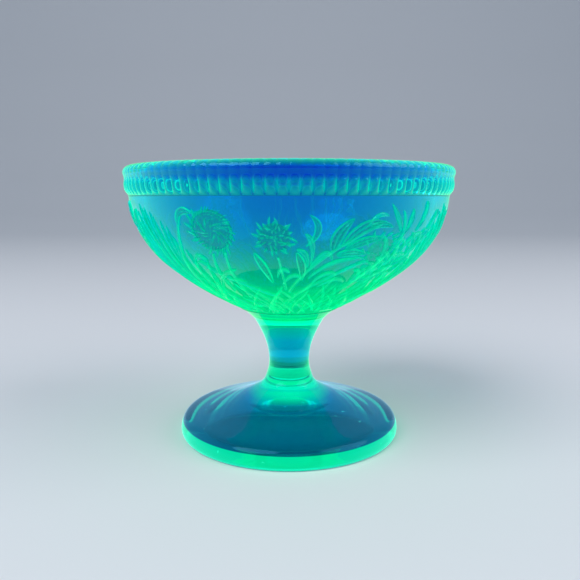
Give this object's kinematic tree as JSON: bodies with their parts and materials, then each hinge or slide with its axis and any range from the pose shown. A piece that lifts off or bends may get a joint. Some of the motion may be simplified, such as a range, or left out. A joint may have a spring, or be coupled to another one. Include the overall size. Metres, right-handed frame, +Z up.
{
  "type": "footed glass dish",
  "caption": "Footed pressed-glass dessert dish: flared bowl with a fluted rim and raised flowers and leaves, on a waisted stem and a round foot.",
  "frame": {"origin": "middle of the plane that the foot rests on", "axes": "+Z up along the dish's axis of revolution; the middle of one pattern repeat faces -Y"},
  "size_m": [0.11, 0.11, 0.0915],
  "materials": {
    "bowl_glass": "clear yellow-green glass, glowing teal under ultraviolet light",
    "rim_glass": "clear glass, glowing cyan-green under ultraviolet light",
    "stem_glass": "thick clear glass, glowing green under ultraviolet light",
    "foot_glass": "thick clear glass, glowing green at its edge under ultraviolet light",
    "relief_glass": "softly rounded raised glass, glowing bright green under ultraviolet light"
  },
  "bodies": {
    "root": {"bowl": "bowl_glass", "fluted_band": "rim_glass", "lip": "rim_glass", "stem": "stem_glass", "foot": "foot_glass", "foot_edge": "foot_glass", "seed_heads": "relief_glass", "blooms": "relief_glass", "bloom_petals": "relief_glass", "buds": "relief_glass", "tulip_buds": "relief_glass", "stalks": "relief_glass", "feather_leaves": "relief_glass", "curled_leaves": "relief_glass", "grass_blades": "relief_glass", "base_leaves": "relief_glass"}
  },
  "joints": []
}
